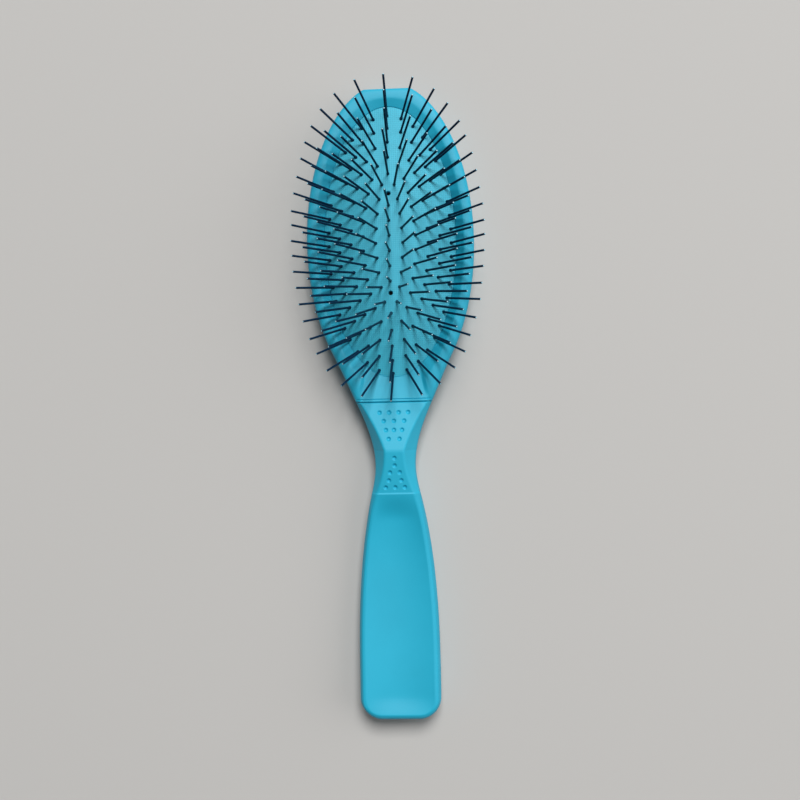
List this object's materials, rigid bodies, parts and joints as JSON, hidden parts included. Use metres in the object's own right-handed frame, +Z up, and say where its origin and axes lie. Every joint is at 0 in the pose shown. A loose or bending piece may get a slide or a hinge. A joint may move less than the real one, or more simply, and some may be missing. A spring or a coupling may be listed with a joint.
{
  "type": "oval cushion pin brush",
  "caption": "Oval cushion hairbrush with splayed nylon pins, teal satin plastic body, domed rubber pad, dimpled faceted neck and hollowed grip",
  "frame": {"origin": "on the flat back, straight under the centre of the cushion", "axes": "+Z up out of the flat back, the way the pins stand; +Y along the brush towards the head; +X to the right seen from the pins with the head up"},
  "size_m": [0.0678, 0.2294, 0.0341],
  "materials": {
    "teal_satin_plastic": "satin soft-touch moulded plastic",
    "teal_rubber": "matt moulded rubber with a fine woven grain",
    "dark_pin_nylon": "smooth dark moulded nylon"
  },
  "bodies": {
    "body": {"back_shell": "teal_satin_plastic", "front_shell": "teal_satin_plastic", "head_bezel": "teal_satin_plastic", "rubber_cushion": "teal_rubber"},
    "centre_pins": {"pin_row_centre": "dark_pin_nylon"},
    "ring_5_pins": {"pin_row_5_left": "dark_pin_nylon", "pin_row_5_right": "dark_pin_nylon", "pin_row_5_head": "dark_pin_nylon", "pin_row_5_neck": "dark_pin_nylon"},
    "ring_4_pins": {"pin_row_4_left": "dark_pin_nylon", "pin_row_4_right": "dark_pin_nylon", "pin_row_4_head": "dark_pin_nylon", "pin_row_4_neck": "dark_pin_nylon"},
    "ring_3_pins": {"pin_row_3_left": "dark_pin_nylon", "pin_row_3_right": "dark_pin_nylon", "pin_row_3_head": "dark_pin_nylon", "pin_row_3_neck": "dark_pin_nylon"},
    "ring_2_pins": {"pin_row_2_left": "dark_pin_nylon", "pin_row_2_right": "dark_pin_nylon", "pin_row_2_head": "dark_pin_nylon", "pin_row_2_neck": "dark_pin_nylon"},
    "ring_1_pins": {"pin_row_1_left": "dark_pin_nylon", "pin_row_1_right": "dark_pin_nylon", "pin_row_1_head": "dark_pin_nylon", "pin_row_1_neck": "dark_pin_nylon"}
  },
  "joints": [
    {"name": "cushion_press", "type": "slide", "parent": "body", "child": "centre_pins", "axis": [0, 0, -1], "range_m": [0, 0.003], "stiffness_N_per_m": 1500, "deforming": ["rubber_cushion"]},
    {"name": "ring_5_sink", "type": "slide", "parent": "body", "child": "ring_5_pins", "axis": [0, 0, -1], "range_m": [0, 0.00276]},
    {"name": "ring_4_sink", "type": "slide", "parent": "body", "child": "ring_4_pins", "axis": [0, 0, -1], "range_m": [0, 0.00243]},
    {"name": "ring_3_sink", "type": "slide", "parent": "body", "child": "ring_3_pins", "axis": [0, 0, -1], "range_m": [0, 0.00195]},
    {"name": "ring_2_sink", "type": "slide", "parent": "body", "child": "ring_2_pins", "axis": [0, 0, -1], "range_m": [0, 0.00135]},
    {"name": "ring_1_sink", "type": "slide", "parent": "body", "child": "ring_1_pins", "axis": [0, 0, -1], "range_m": [0, 0.00066]}
  ],
  "couplings": [
    {"joint": "ring_5_sink", "follows": "cushion_press", "ratio": 0.92},
    {"joint": "ring_4_sink", "follows": "cushion_press", "ratio": 0.81},
    {"joint": "ring_3_sink", "follows": "cushion_press", "ratio": 0.65},
    {"joint": "ring_2_sink", "follows": "cushion_press", "ratio": 0.45},
    {"joint": "ring_1_sink", "follows": "cushion_press", "ratio": 0.22}
  ]
}
